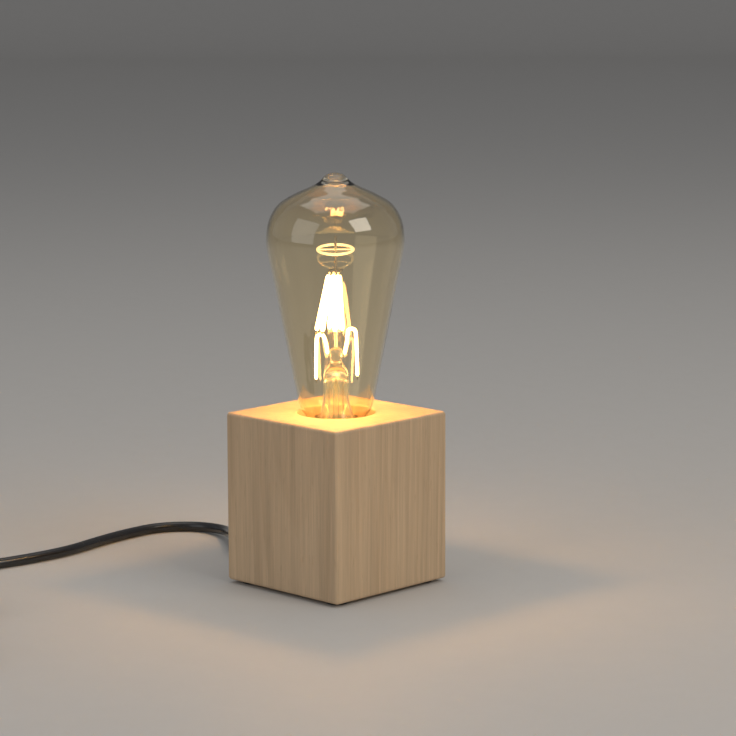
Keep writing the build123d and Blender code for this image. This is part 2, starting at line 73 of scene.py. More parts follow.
# boxes of pieces that are remade here, in metres, taken from the frame
CAP_LOW, CAP_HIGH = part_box("cap_shell")
SLEEVE_LOW, SLEEVE_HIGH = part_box("holder_thread_sleeve")
COLLAR_LOW, COLLAR_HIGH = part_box("neck_collar")
SPRING_LOW, SPRING_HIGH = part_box("contact_spring")
GLAND_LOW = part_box("cord_gland")[0]
RELIEF_LOW, RELIEF_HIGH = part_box("plug_strain_relief")


# ---------------------------------------------------------------- meshes

def new_piece(name, points, faces, body, material, sharp=35):
    """Put arrays of points and faces into a smooth mesh that rides on a body."""
    mesh = bpy.data.meshes.new(name)
    mesh.from_pydata(points, [], faces)
    mesh.shade_smooth()
    mesh.set_sharp_from_angle(angle=math.radians(sharp))
    mesh.materials.append(material)
    piece = bpy.data.objects.new(name, mesh)
    bpy.context.scene.collection.objects.link(piece)
    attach(piece, body)
    return piece


def grid_faces(rows, columns, wrap_rows, wrap_columns):
    """Quads of a grid of points, numbered row by row; a wrapped side joins its last line to its first."""
    i = np.arange(rows if wrap_rows else rows - 1)
    j = np.arange(columns if wrap_columns else columns - 1)
    i, j = np.meshgrid(i, j, indexing="ij")
    i2 = (i + 1) % rows
    j2 = (j + 1) % columns
    return np.stack([i * columns + j, i * columns + j2, i2 * columns + j2, i2 * columns + j], -1).reshape(-1, 4)


def welded(points, faces):
    """Merge points that coincide; a quad with two equal corners becomes a triangle, one with more goes."""
    keys = np.round(points * 1e8).astype(np.int64)
    _, first, back = np.unique(keys, axis=0, return_index=True, return_inverse=True)
    faces = back.reshape(-1)[faces]
    twin = faces == np.roll(faces, 1, axis=1)
    quads = faces[twin.sum(1) == 0]
    one = twin.sum(1) == 1
    triangles = faces[one][~twin[one]].reshape(-1, 3)
    return points[first], quads.tolist() + triangles.tolist()


UPRIGHT = ((0, 0, 0), (1, 0, 0), (0, 1, 0), (0, 0, 1))


def turned(name, profile, body, material, steps=160, wave=None, sharp=35, place=UPRIGHT):
    """A closed profile carried round an axis: origin + r cos t · a + r sin t · b + z · c.

    profile is a closed loop of (r, z), anticlockwise as seen with r to the right; wave(r, z, t) adds to
    the radius; place gives the origin and the directions a, b and c, which are x, y and z when left out.
    """
    loop = np.asarray(profile, float)
    t = np.linspace(0, TAU, steps, endpoint=False)[None, :]
    r = np.repeat(loop[:, :1], steps, axis=1)
    z = np.repeat(loop[:, 1:], steps, axis=1)
    if wave is not None:
        r = r + wave(r, z, t)
    origin, a, b, c = (np.asarray(v, float) for v in place)
    points = origin + (r * np.cos(t))[..., None] * a + (r * np.sin(t))[..., None] * b + z[..., None] * c
    faces = grid_faces(len(loop), steps, True, True)
    return new_piece(name, *welded(points.reshape(-1, 3), faces), body, material, sharp)


def smooth_line(points, count):
    """A Catmull-Rom curve through the points: each stretch is the cubic that leaves and meets its two points
    along the line between their neighbours."""
    p = np.asarray(points, float)
    p = np.vstack([2 * p[0] - p[1], p, 2 * p[-1] - p[-2]])
    spans = len(p) - 3
    s = np.linspace(0, spans, count)
    k = np.minimum(s.astype(int), spans - 1)
    u = (s - k)[:, None]
    a, b, c, d = p[k], p[k + 1], p[k + 2], p[k + 3]
    return 0.5 * (2 * b + (c - a) * u + (2 * a - 5 * b + 4 * c - d) * u**2 + (3 * b - a - 3 * c + d) * u**3)


def tube(name, line, radius, body, material, side, sides=20, sharp=50):
    """A round section carried along a line: centre + r (cos t · n + sin t · b), with n square to the line
    and nearest to the given side direction, b = tangent × n, and both ends closed by a shrinking ring."""
    line = np.asarray(line, float)
    radius = np.broadcast_to(np.asarray(radius, float), (len(line),)).copy()
    tangent = np.gradient(line, axis=0)
    tangent /= np.linalg.norm(tangent, axis=1)[:, None]
    side = np.asarray(side, float)
    n = side - (tangent @ side)[:, None] * tangent
    n /= np.linalg.norm(n, axis=1)[:, None]
    b = np.cross(tangent, n)
    line = np.vstack([line[:1], line, line[-1:]])
    n = np.vstack([n[:1], n, n[-1:]])
    b = np.vstack([b[:1], b, b[-1:]])
    radius = np.concatenate([[0], radius, [0]])
    t = np.linspace(0, TAU, sides, endpoint=False)
    ring = np.cos(t)[None, :, None] * n[:, None, :] + np.sin(t)[None, :, None] * b[:, None, :]
    points = line[:, None, :] + radius[:, None, None] * ring
    faces = grid_faces(len(line), sides, False, True)
    return new_piece(name, *welded(points.reshape(-1, 3), faces), body, material, sharp)


# ---------------------------------------------------------------- node helpers

def add_node(tree, kind, values=None, **settings):
    """Make a node, set its properties, and set or link its inputs by name or number."""
    made = tree.nodes.new(kind)
    for key, value in settings.items():
        setattr(made, key, value)
    for key, value in (values or {}).items():
        if isinstance(value, bpy.types.NodeSocket):
            tree.links.new(value, made.inputs[key])
        else:
            made.inputs[key].default_value = value
    return made


def maths(tree, operation, first, second=0.0):
    """One maths step: the result of an operation on two values or sockets."""
    return add_node(tree, "ShaderNodeMath", {0: first, 1: second}, operation=operation).outputs[0]


def ranged(tree, value, low, high, to_low, to_high):
    """Bring a value from one range into another, held at both ends."""
    values = {"Value": value, "From Min": low, "From Max": high, "To Min": to_low, "To Max": to_high}
    return add_node(tree, "ShaderNodeMapRange", values).outputs[0]


def mixed(tree, share, first, second, blend="MIX"):
    """Mix two colours by a share."""
    made = add_node(tree, "ShaderNodeMix", data_type="RGBA", blend_type=blend)
    for socket, value in ((made.inputs[0], share), (made.inputs[6], first), (made.inputs[7], second)):
        if isinstance(value, bpy.types.NodeSocket):
            tree.links.new(value, socket)
        else:
            socket.default_value = value
    return made.outputs[2]


def noise(tree, where, scale, detail=3.0, roughness=0.55, stretch=None, distortion=0.0):
    """A noise value on object coordinates, stretched by a scale on each axis."""
    if stretch is not None:
        where = add_node(tree, "ShaderNodeMapping", {"Vector": where, "Scale": stretch}).outputs[0]
    values = {"Vector": where, "Scale": scale, "Detail": detail, "Roughness": roughness, "Distortion": distortion}
    return add_node(tree, "ShaderNodeTexNoise", values).outputs["Fac"]


def new_group(name, inputs, outputs):
    """An empty shader node group with its sockets, and its input and output nodes."""
    tree = bpy.data.node_groups.new(name, "ShaderNodeTree")
    for label, kind, value in inputs:
        socket = tree.interface.new_socket(name=label, in_out="INPUT", socket_type=kind)
        socket.default_value = value
    for label, kind in outputs:
        tree.interface.new_socket(name=label, in_out="OUTPUT", socket_type=kind)
    return tree, tree.nodes.new("NodeGroupInput"), tree.nodes.new("NodeGroupOutput")


FLOAT, COLOR = "NodeSocketFloat", "NodeSocketColor"


def wood_group():
    """Solid timber: growth rings round a pith in front of the block, with fibres, pores and soft brown streaks
    along Z. Late wood darkens as a ring ends, some rings more than others."""
    tree, start, end = new_group(
        "timber",
        [("Pale", COLOR, (0.80, 0.62, 0.40, 1)), ("Dark", COLOR, (0.50, 0.31, 0.15, 1)), ("Ring width", FLOAT, 0.0034)],
        [("Color", COLOR), ("Roughness", FLOAT), ("Height", FLOAT)],
    )
    where = add_node(tree, "ShaderNodeTexCoord").outputs["Object"]
    shifted = add_node(tree, "ShaderNodeMapping", {"Vector": where, "Location": (-0.012, 0.094, 0.0),
                                                   "Rotation": (0.035, 0.012, 0.0)}).outputs[0]
    axes = add_node(tree, "ShaderNodeSeparateXYZ", {0: shifted})
    across = maths(tree, "SQRT", maths(tree, "ADD", maths(tree, "MULTIPLY", axes.outputs[0], axes.outputs[0]),
                                       maths(tree, "MULTIPLY", axes.outputs[1], axes.outputs[1])))
    drift = noise(tree, where, 16.0, 3.0, 0.5, (1.0, 1.0, 0.16))
    across = maths(tree, "ADD", across, maths(tree, "MULTIPLY", maths(tree, "SUBTRACT", drift, 0.5), 0.008))
    count = maths(tree, "DIVIDE", across, start.outputs["Ring width"])
    ring = maths(tree, "FRACT", count)
    late = maths(tree, "MULTIPLY", ranged(tree, ring, 0.25, 0.92, 0.0, 1.0), ranged(tree, ring, 0.92, 1.0, 1.0, 0.0))
    weight = add_node(tree, "ShaderNodeTexNoise", {"W": maths(tree, "FLOOR", count), "Scale": 3.7, "Detail": 0.0},
                      noise_dimensions="1D").outputs["Fac"]
    late = maths(tree, "MULTIPLY", late, ranged(tree, weight, 0.35, 0.65, 0.25, 1.0))
    fibre = noise(tree, where, 1.0, 4.0, 0.6, (1300.0, 1300.0, 30.0))
    pore = ranged(tree, noise(tree, where, 1.0, 1.0, 0.5, (1050.0, 1050.0, 120.0)), 0.66, 0.74, 0.0, 1.0)
    band = noise(tree, where, 1.0, 3.0, 0.55, (170.0, 170.0, 5.0), 0.4)
    cloud = noise(tree, where, 22.0, 2.0, 0.5, (1.0, 1.0, 0.14))
    streak = ranged(tree, noise(tree, where, 1.0, 2.0, 0.5, (75.0, 75.0, 5.0), 0.5), 0.56, 0.72, 0.0, 1.0)
    tone = mixed(tree, maths(tree, "MULTIPLY", late, 0.36), start.outputs["Pale"], start.outputs["Dark"])
    tone = mixed(tree, maths(tree, "MULTIPLY", streak, 0.34), tone, start.outputs["Dark"])
    tone = mixed(tree, maths(tree, "MULTIPLY", pore, 0.30), tone, start.outputs["Dark"])
    for value, low, high in ((fibre, 0.90, 1.08), (band, 0.90, 1.08), (cloud, 0.91, 1.06)):
        tone = mixed(tree, 1.0, tone, ranged(tree, value, 0.3, 0.7, low, high), "MULTIPLY")
    height = maths(tree, "ADD", maths(tree, "MULTIPLY", fibre, 0.5),
                   maths(tree, "SUBTRACT", maths(tree, "MULTIPLY", late, 0.2), maths(tree, "MULTIPLY", pore, 0.4)))
    tree.links.new(tone, end.inputs["Color"])
    tree.links.new(ranged(tree, fibre, 0.3, 0.7, 0.42, 0.56), end.inputs["Roughness"])
    tree.links.new(height, end.inputs["Height"])
    return tree


def handled_group():
    """A finish that has been handled: cloudy tone, finger smudges in the gloss and a fine surface texture."""
    tree, start, end = new_group(
        "handled",
        [("Color", COLOR, (0.5, 0.5, 0.5, 1)), ("Variation", FLOAT, 0.1), ("Roughness", FLOAT, 0.4),
         ("Smudge", FLOAT, 0.1), ("Texture size", FLOAT, 2500.0)],
        [("Color", COLOR), ("Roughness", FLOAT), ("Height", FLOAT)],
    )
    where = add_node(tree, "ShaderNodeTexCoord").outputs["Object"]
    cloud = maths(tree, "SUBTRACT", noise(tree, where, 70.0, 4.0), 0.5)
    tint = maths(tree, "ADD", 1.0,
                 maths(tree, "MULTIPLY", cloud, maths(tree, "MULTIPLY", start.outputs["Variation"], 2.0)))
    tone = mixed(tree, 1.0, start.outputs["Color"], tint, "MULTIPLY")
    smudge = maths(tree, "SUBTRACT", noise(tree, where, 160.0, 3.0, 0.6, None, 1.5), 0.5)
    rough = maths(tree, "ADD", start.outputs["Roughness"],
                  maths(tree, "MULTIPLY", smudge, maths(tree, "MULTIPLY", start.outputs["Smudge"], 2.0)))
    speck = add_node(tree, "ShaderNodeTexNoise", {
        "Vector": where, "Scale": start.outputs["Texture size"], "Detail": 2.0})
    tree.links.new(tone, end.inputs["Color"])
    tree.links.new(rough, end.inputs["Roughness"])
    tree.links.new(speck.outputs["Fac"], end.inputs["Height"])
    return tree


def turned_metal_group():
    """Metal worked round the vertical axis: fine rings in height and gloss, and a tarnish that gathers unevenly."""
    tree, start, end = new_group(
        "turned_metal",
        [("Color", COLOR, (0.8, 0.7, 0.5, 1)), ("Tarnish", COLOR, (0.4, 0.3, 0.2, 1)), ("Roughness", FLOAT, 0.25)],
        [("Color", COLOR), ("Roughness", FLOAT), ("Height", FLOAT)],
    )
    where = add_node(tree, "ShaderNodeTexCoord").outputs["Object"]
    rings = noise(tree, where, 1.0, 3.0, 0.6, (60.0, 60.0, 9000.0))
    stain = ranged(tree, noise(tree, where, 130.0, 5.0, 0.65), 0.5, 0.75, 0.0, 0.6)
    tone = mixed(tree, stain, start.outputs["Color"], start.outputs["Tarnish"])
    rough = maths(tree, "ADD", start.outputs["Roughness"], maths(tree, "ADD", maths(tree, "MULTIPLY", stain, 0.25),
                  maths(tree, "MULTIPLY", maths(tree, "SUBTRACT", rings, 0.5), 0.12)))
    tree.links.new(tone, end.inputs["Color"])
    tree.links.new(rough, end.inputs["Roughness"])
    tree.links.new(rings, end.inputs["Height"])
    return tree


GROUPS = {}


def group(name):
    """A shared node group, built the first time it is asked for."""
    makers = {"timber": wood_group, "handled": handled_group, "turned_metal": turned_metal_group}
    if name not in GROUPS:
        GROUPS[name] = makers[name]()
    return GROUPS[name]


def grouped_material(name, effect, values, bump=(0.1, 0.0001), **shader):
    """A Principled material whose colour, roughness and bump come from a shared effect."""
    material = bpy.data.materials.new(name)
    material.use_nodes = True
    tree = material.node_tree
    tree.nodes.clear()
    output = tree.nodes.new("ShaderNodeOutputMaterial")
    look = add_node(tree, "ShaderNodeGroup", node_tree=group(effect))
    for key, value in values.items():
        look.inputs[key].default_value = value
    relief = add_node(tree, "ShaderNodeBump", {
        "Strength": bump[0], "Distance": bump[1], "Height": look.outputs["Height"]})
    surface = add_node(tree, "ShaderNodeBsdfPrincipled", {
        "Base Color": look.outputs["Color"], "Roughness": look.outputs["Roughness"], "Normal": relief.outputs[0]})
    for key, value in shader.items():
        surface.inputs[key.replace("_", " ")].default_value = value
    tree.links.new(surface.outputs[0], output.inputs["Surface"])
    return material


def glass_material(name, tint, roughness, shade, glow=0.0):
    """Glass for the eye and the mirror, and a tinted clear film for rays from lamps, so that they pass.

    A little glow stands in for the light that glass beside a lit filament picks up."""
    material = bpy.data.materials.new(name)
    material.use_nodes = True
    tree = material.node_tree
    tree.nodes.clear()
    output = tree.nodes.new("ShaderNodeOutputMaterial")
    where = add_node(tree, "ShaderNodeTexCoord").outputs["Object"]
    ripple = noise(tree, where, 38.0, 2.0, 0.4, (1.0, 1.0, 0.55))
    relief = add_node(tree, "ShaderNodeBump", {"Strength": 0.12, "Distance": 0.0006, "Height": ripple})
    body = add_node(tree, "ShaderNodeBsdfPrincipled", {
        "Base Color": (*tint, 1), "Roughness": roughness, "IOR": 1.6, "Transmission Weight": 1.0,
        "Emission Color": (1.0, 0.78, 0.38, 1), "Emission Strength": glow, "Normal": relief.outputs[0]})
    film = add_node(tree, "ShaderNodeBsdfTransparent", {"Color": (*shade, 1)})
    rays = add_node(tree, "ShaderNodeLightPath")
    choice = add_node(tree, "ShaderNodeMixShader", {
        0: rays.outputs["Is Shadow Ray"], 1: body.outputs[0], 2: film.outputs[0]})
    tree.links.new(choice.outputs[0], output.inputs["Surface"])
    return material


def filament_material(name, phosphor, glow, strength):
    """Phosphor on a lit filament: beads along its length, brighter at their middles."""
    material = bpy.data.materials.new(name)
    material.use_nodes = True
    tree = material.node_tree
    tree.nodes.clear()
    output = tree.nodes.new("ShaderNodeOutputMaterial")
    where = add_node(tree, "ShaderNodeTexCoord").outputs["Object"]
    height = add_node(tree, "ShaderNodeSeparateXYZ", {0: where}).outputs[2]
    waves = maths(tree, "SINE", maths(tree, "MULTIPLY", height, TAU / BEAD_SPACING))
    beads = maths(tree, "ADD", 0.5, maths(tree, "MULTIPLY", waves, 0.5))
    grain = noise(tree, where, 2600.0, 2.0)
    tone = mixed(tree, ranged(tree, grain, 0.3, 0.7, 0.0, 0.35), (*phosphor, 1), (*glow, 1))
    light = mixed(tree, ranged(tree, beads, 0.0, 1.0, 0.0, 0.5), (*glow, 1), (1.0, 0.80, 0.50, 1))
    surface = add_node(tree, "ShaderNodeBsdfPrincipled", {
        "Base Color": tone, "Roughness": 0.6, "Emission Color": light, "Emission Strength": strength})
    tree.links.new(surface.outputs[0], output.inputs["Surface"])
    return material


def dress(material, *nodes):
    """Give CAD nodes one material."""
    for node in nodes:
        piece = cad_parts[node]
        piece.data.materials.clear()
        piece.data.materials.append(material)


# ---------------------------------------------------------------- sizes and colours

def length(name, words, default):
    """A length that the sidebar shows."""
    return bpy.props.FloatProperty(name=name, description=words, default=default, min=0.0, unit="LENGTH", precision=5)


def colour(name, words, default):
    """A colour that the sidebar shows."""
    return bpy.props.FloatVectorProperty(name=name, description=words, default=default, size=3, min=0.0, max=1.0,
                                         subtype="COLOR")


class LampSizes(bpy.types.PropertyGroup):
    """Sizes of the pieces that are made here."""
    cord_diameter: length("Cord diameter", "Outside of the supply cord", 0.005)
    glass_wall: length("Glass wall", "Thickness of the bulb's glass", 0.0009)
    filament_width: length("Filament width", "Across a lit filament", 0.0021)
    thread_pitch: length("Thread pitch", "Rise of the screw cap's thread in one turn", 0.00362)
    ring_width: length("Ring width", "Mean distance between the growth rings of the wood", 0.0034)


class LampColours(bpy.types.PropertyGroup):
    """Colours of the main finishes."""
    wood_pale: colour("Pale wood", "Early wood of the cube", (0.66, 0.47, 0.285))
    wood_dark: colour("Dark wood", "Late wood, pores and streaks of the cube", (0.47, 0.31, 0.17))
    glass: colour("Glass", "Tint of the bulb's glass", (1.0, 0.91, 0.72))
    glow: colour("Glow", "Light of the filaments", (1.0, 0.56, 0.17))
    gold: colour("Gold collar", "Collar at the bulb's neck", (0.80, 0.56, 0.24))
    floor: colour("Floor", "Floor and backdrop", (0.62, 0.60, 0.57))


# ---------------------------------------------------------------- the cube

def make_wood():
    """Solid pale timber on the cube, its grain upright."""
    colours = bpy.context.scene.lamp_colours
    sizes = bpy.context.scene.lamp_sizes
    timber = grouped_material("pale timber", "timber", {
        "Pale": (*colours.wood_pale, 1), "Dark": (*colours.wood_dark, 1), "Ring width": sizes.ring_width},
        bump=(0.35, 0.00012), Coat_Weight=0.12, Coat_Roughness=0.35)
    dress(timber, "wooden_block")


def make_base_fittings():
    """Finishes of the base plate, its screws and the feet."""
    plate = grouped_material("black plate", "handled", {"Color": (0.035, 0.035, 0.037, 1), "Roughness": 0.42,
                                                        "Smudge": 0.16, "Texture size": 5200.0}, bump=(0.25, 0.00008))
    dress(plate, "base_plate")
    steel = grouped_material("zinc plated steel", "handled", {"Color": (0.60, 0.61, 0.63, 1), "Roughness": 0.30,
                                                              "Variation": 0.22, "Smudge": 0.15},
                             bump=(0.1, 0.00005), Metallic=1.0)
    dress(steel, "base_plate_screws", "bracket_screws", "cord_clamp_screws", "terminal_screws", "lock_nut",
          "nipple_washer", "holder_bracket", "threaded_nipple")
    rubber = grouped_material("foot rubber", "handled", {"Color": (0.03, 0.03, 0.03, 1), "Roughness": 0.78,
                                                         "Texture size": 3800.0}, bump=(0.35, 0.0001))
    dress(rubber, "rubber_feet")


# ---------------------------------------------------------------- the lampholder

def make_lampholder():
    """Finishes of the lampholder's shell, core, terminals and the cord's clamp and wires."""
    plastic = grouped_material("holder plastic", "handled", {"Color": (0.028, 0.027, 0.026, 1), "Roughness": 0.38,
                                                             "Smudge": 0.12}, bump=(0.15, 0.00006))
    dress(plastic, "holder_shell", "holder_skirt_ring", "cord_clamp")
    ceramic = grouped_material("unglazed ceramic", "handled", {"Color": (0.80, 0.77, 0.71, 1), "Roughness": 0.62,
                                                               "Texture size": 4200.0}, bump=(0.3, 0.0001))
    dress(ceramic, "holder_core")
    brass = turned_brass("terminal brass")
    dress(brass, "contact_plunger", "terminal_live", "terminal_neutral")
    brown = grouped_material("brown insulation", "handled", {"Color": (0.20, 0.085, 0.035, 1), "Roughness": 0.42})
    blue = grouped_material("blue insulation", "handled", {"Color": (0.03, 0.11, 0.42, 1), "Roughness": 0.42})
    dress(brown, "wire_live")
    dress(blue, "wire_neutral")


def turned_brass(name):
    """Brass with turning marks and a little tarnish."""
    return grouped_material(name, "turned_metal", {"Color": (0.79, 0.58, 0.28, 1), "Tarnish": (0.42, 0.25, 0.10, 1),
                                                   "Roughness": 0.28}, bump=(0.08, 0.00004), Metallic=1.0)


def screw_wave(pitch, depth, low, high, fade):
    """A right-hand thread: depth/2 · cos of the turns left between height and angle, fading out at both ends."""
    def wave(r, z, t):
        share = np.clip(np.minimum(z - low, high - z) / fade, 0, 1)
        share = share * share * (3 - 2 * share)
        return share * depth / 2 * np.cos(TAU * z / pitch - t)
    return wave


def make_holder_thread():
    """The lampholder's brass screw sleeve: a thin wall that waves in and out along a helix."""
    pitch = bpy.context.scene.lamp_sizes.thread_pitch
    low, high = SLEEVE_LOW[2], SLEEVE_HIGH[2]
    wall, inner, foot = 0.45 * MM, 13.62 * MM, low + 0.6 * MM
    up = np.linspace(foot, high, 120)
    outer_wall = np.column_stack([np.full(120, inner + wall), up])
    inner_wall = np.column_stack([np.full(120, inner), up])[::-1]
    floor = np.array([[11.5 * MM, foot], [11.5 * MM, low], [16.0 * MM, low], [16.0 * MM, foot]])
    profile = np.vstack([outer_wall, inner_wall, floor])
    sleeve = turned("holder_screw_sleeve", profile, "base", turned_brass("sleeve brass"),
                    wave=screw_wave(pitch, 0.55 * MM, foot, high, 2 * MM))
    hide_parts("holder_thread_sleeve")


def make_contact_spring():
    """The coil spring under the centre contact: a round wire on a helix whose end turns lie flat."""
    low, high = SPRING_LOW[2], SPRING_HIGH[2]
    wire, turns = 0.24 * MM, 5.5
    s = np.linspace(0, 1, 300)
    rise = np.clip((s * turns - 0.75) / (turns - 1.5), 0, 1)
    angle = TAU * turns * s
    radius = SPRING_HIGH[0] - wire
    line = np.column_stack([radius * np.cos(angle), radius * np.sin(angle),
                            low + wire + (high - low - 2 * wire) * (0.92 * rise + 0.08 * s)])
    steel = grouped_material("spring steel", "handled", {"Color": (0.55, 0.55, 0.56, 1), "Roughness": 0.25},
                             Metallic=1.0)
    spring = tube("contact_coil_spring", line, wire, "base", steel, (0, 0, 1), sides=12)
    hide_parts("contact_spring")
    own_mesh(spring)


# ---------------------------------------------------------------- the supply cord

CORD_EXIT = (-58.0, 0.0, 12.0)
CORD_LEAD = [
    CORD_EXIT, (-72, 2.5, 10.5), (-89, 14, 6.4), (-107, 27, 3.6), (-127, 26, 2.6), (-139.5, 10.5, 2.6),
    (-140, -10, 2.6), (-137, -32, 2.6), (-132, -54, 2.6), (-133, -80, 2.6), (-138.5, -107, 2.6),
    (-141, -137, 2.6), (-141, -165, 2.6),
]
COIL_CENTER = (-101.25, -182.0)
TAIL = [(-92, -220.5, 8.2), (-83, -220.5, 8.0), (-74, -220.5, 7.2)]


def cord_points():
    """Control points of the cord: the lead on the floor, a spiral inwards, half a turn that climbs, a spiral
    outwards on top of the first, and the tail into the plug."""
    points = list(CORD_LEAD)
    spans = ((3.75, 39.75, 21.0, 3.2, 3.2), (0.5, 21.0, 21.0, 3.2, 8.2), (3.0, 21.0, 38.5, 8.2, 8.2))
    angle, steps = math.pi, 20
    for turns, start_r, end_r, start_z, end_z in spans:
        count = round(turns * steps)
        for k in range(0 if angle == math.pi else 1, count + 1):
            s = k / count
            turn = angle + TAU * turns * s
            r = (start_r + (end_r - start_r) * s) * 1.006
            z = start_z + (end_z - start_z) * s * s * (3 - 2 * s)
            points.append((COIL_CENTER[0] + r * math.cos(turn), COIL_CENTER[1] + r * math.sin(turn), z))
        angle += TAU * turns
    return points + TAIL


def make_cord():
    """The supply cord as one curve, with its gland, its tie and its plug."""
    sizes = bpy.context.scene.lamp_sizes
    sheath = grouped_material("black sheath", "handled", {"Color": (0.012, 0.012, 0.013, 1), "Roughness": 0.24,
                                                          "Smudge": 0.10}, bump=(0.08, 0.00005), Coat_Weight=0.25,
                              Coat_Roughness=0.12)
    curve = bpy.data.curves.new("supply_cord", "CURVE")
    curve.dimensions = "3D"
    spline = curve.splines.new("NURBS")
    points = cord_points()
    spline.points.add(len(points) - 1)
    for place, point in zip(points, spline.points):
        point.co = (*(MM * v for v in place), 1.0)
    spline.order_u = 3
    spline.use_endpoint_u = True
    spline.resolution_u = 6
    curve.bevel_depth = sizes.cord_diameter / 2
    curve.bevel_resolution = 6
    curve.use_fill_caps = True
    curve.materials.append(sheath)
    cord = bpy.data.objects.new("supply_cord", curve)
    bpy.context.scene.collection.objects.link(cord)
    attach(cord, "base")
    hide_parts("cord_lead", "cord_coil", "cord_tail")
    dress(sheath, "cord_inner")

    rubber = grouped_material("gland rubber", "handled", {"Color": (0.018, 0.018, 0.019, 1), "Roughness": 0.50,
                                                          "Texture size": 4200.0}, bump=(0.25, 0.00008))
    gland = ribbed_sleeve("ribbed_gland", GLAND_LOW[0], (0.0, 12.0 * MM), 2.55 * MM,
                          [(0, 3.4), (19.3, 4.7), (19.5, 7.0), (21.4, 7.0), (21.45, 4.45), (31.0, 4.45), (31.9, 2.9)],
                          6, (2.0, 16.5), rubber)
    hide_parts("cord_gland")
    middle = [(a + b) / 2 for a, b in zip(RELIEF_LOW, RELIEF_HIGH)]
    relief = ribbed_sleeve("ribbed_plug_relief", RELIEF_LOW[0], (middle[1], middle[2]), 0.0,
                           [(0, 3.2), (21.5, 5.0)], 6, (2.0, 18.5), rubber)
    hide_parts("plug_strain_relief")
    dress(rubber, "cord_tie")

    moulded = grouped_material("moulded plug", "handled", {"Color": (0.020, 0.020, 0.021, 1), "Roughness": 0.46,
                                                           "Texture size": 3000.0}, bump=(0.2, 0.00008))
    dress(moulded, "plug_body", "plug_pin_sleeves")
    nickel = grouped_material("nickel pins", "handled", {"Color": (0.72, 0.71, 0.69, 1), "Roughness": 0.2},
                              Metallic=1.0)
    dress(nickel, "plug_pins")


def ribbed_sleeve(name, start, centre, bore, outline, ribs, ribbed, material):
    """A tapered rubber sleeve round the cord, turned about X: the radius follows the outline and drops into
    a smooth groove between each two ribs, by 0.55 mm · (1 - |sin|) raised to a steep power."""
    places = np.array(outline, float) * MM
    along = np.unique(np.concatenate([np.linspace(0, places[-1, 0], 150), places[:, 0], places[:, 0] + 1e-6]))
    along = along[along <= places[-1, 0]]
    radius = np.interp(along, places[:, 0], places[:, 1])
    low, high = ribbed[0] * MM, ribbed[1] * MM
    inside = (along > low) & (along < high)
    groove = np.clip(1 - 3.2 * np.abs(np.sin(math.pi * (along - low) / (high - low) * ribs)), 0, 1)
    radius = radius - np.where(inside, 0.55 * MM * groove * groove * (3 - 2 * groove), 0)
    bore_line = np.array([[bore, along[-1]], [bore, 0.0]])
    profile = np.vstack([np.column_stack([radius, along]), bore_line])
    return turned(name, profile, "base", material, steps=64,
                  place=((start, centre[0], centre[1]), (0, 1, 0), (0, 0, 1), (1, 0, 0)))


# ---------------------------------------------------------------- the bulb

def make_cap():
    """The bulb's screw cap: a thin rolled shell with a helical thread, its black insulator and its contact."""
    pitch = bpy.context.scene.lamp_sizes.thread_pitch
    low, high = CAP_LOW[2], CAP_HIGH[2]
    crest, root, wall = CAP_HIGH[0], CAP_HIGH[0] - 0.8 * MM, 0.3 * MM
    middle = (crest + root) / 2
    z = np.linspace(low, high, 170)
    foot = np.clip((z - low) / (1.4 * MM), 0, 1)
    head = np.clip((z - (high - 1.5 * MM)) / (1.2 * MM), 0, 1)
    r = middle - 1.0 * MM * (1 - np.sqrt(1 - (1 - foot) ** 2)) + (crest - middle) * head
    profile = np.vstack([np.column_stack([r, z]), np.column_stack([r - wall, z])[::-1]])
    shell_metal = grouped_material("nickel brass cap", "turned_metal", {
        "Color": (0.78, 0.66, 0.44, 1), "Tarnish": (0.52, 0.40, 0.22, 1), "Roughness": 0.24},
        bump=(0.06, 0.00004), Metallic=1.0)
    shell = turned("cap_screw_shell", profile, "bulb", shell_metal,
                   wave=screw_wave(pitch, crest - root, low + 1.2 * MM, high - 1.2 * MM, 2.2 * MM))
    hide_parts("cap_shell")
    dress(shell_metal, "cap_contact")
    vitrite = grouped_material("black cap glass", "handled", {"Color": (0.012, 0.012, 0.016, 1), "Roughness": 0.12})
    dress(vitrite, "cap_insulator")


def make_collar():
    """The gold collar between cap and glass: a turned ring with rounded edges and a fine groove."""
    low, high = COLLAR_LOW[2], COLLAR_HIGH[2]
    outer = COLLAR_HIGH[0]
    t = np.linspace(0, math.pi / 2, 8)
    edge = 0.5 * MM
    lower = np.column_stack([outer - edge + edge * np.sin(t), low + edge - edge * np.cos(t)])
    groove_floor = outer - 0.25 * MM
    groove = np.array([[outer, low + 2.0 * MM], [groove_floor, low + 2.3 * MM], [groove_floor, low + 2.7 * MM],
                       [outer, low + 3.0 * MM]])
    upper = np.column_stack([outer - edge + edge * np.cos(t), high - edge + edge * np.sin(t)])
    inner = np.array([[13.2 * MM, high - 0.1 * MM], [12.2 * MM, high - 2.0 * MM], [12.2 * MM, 73.2 * MM],
                      [13.2 * MM, 73.2 * MM], [13.2 * MM, low]])
    gold = grouped_material("gold collar", "turned_metal", {
        "Color": (*bpy.context.scene.lamp_colours.gold, 1), "Tarnish": (0.55, 0.33, 0.12, 1), "Roughness": 0.22},
        bump=(0.05, 0.00004), Metallic=1.0)
    collar = turned("gold_collar", np.vstack([lower, groove, upper, inner]), "bulb", gold, sharp=30)
    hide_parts("neck_collar")


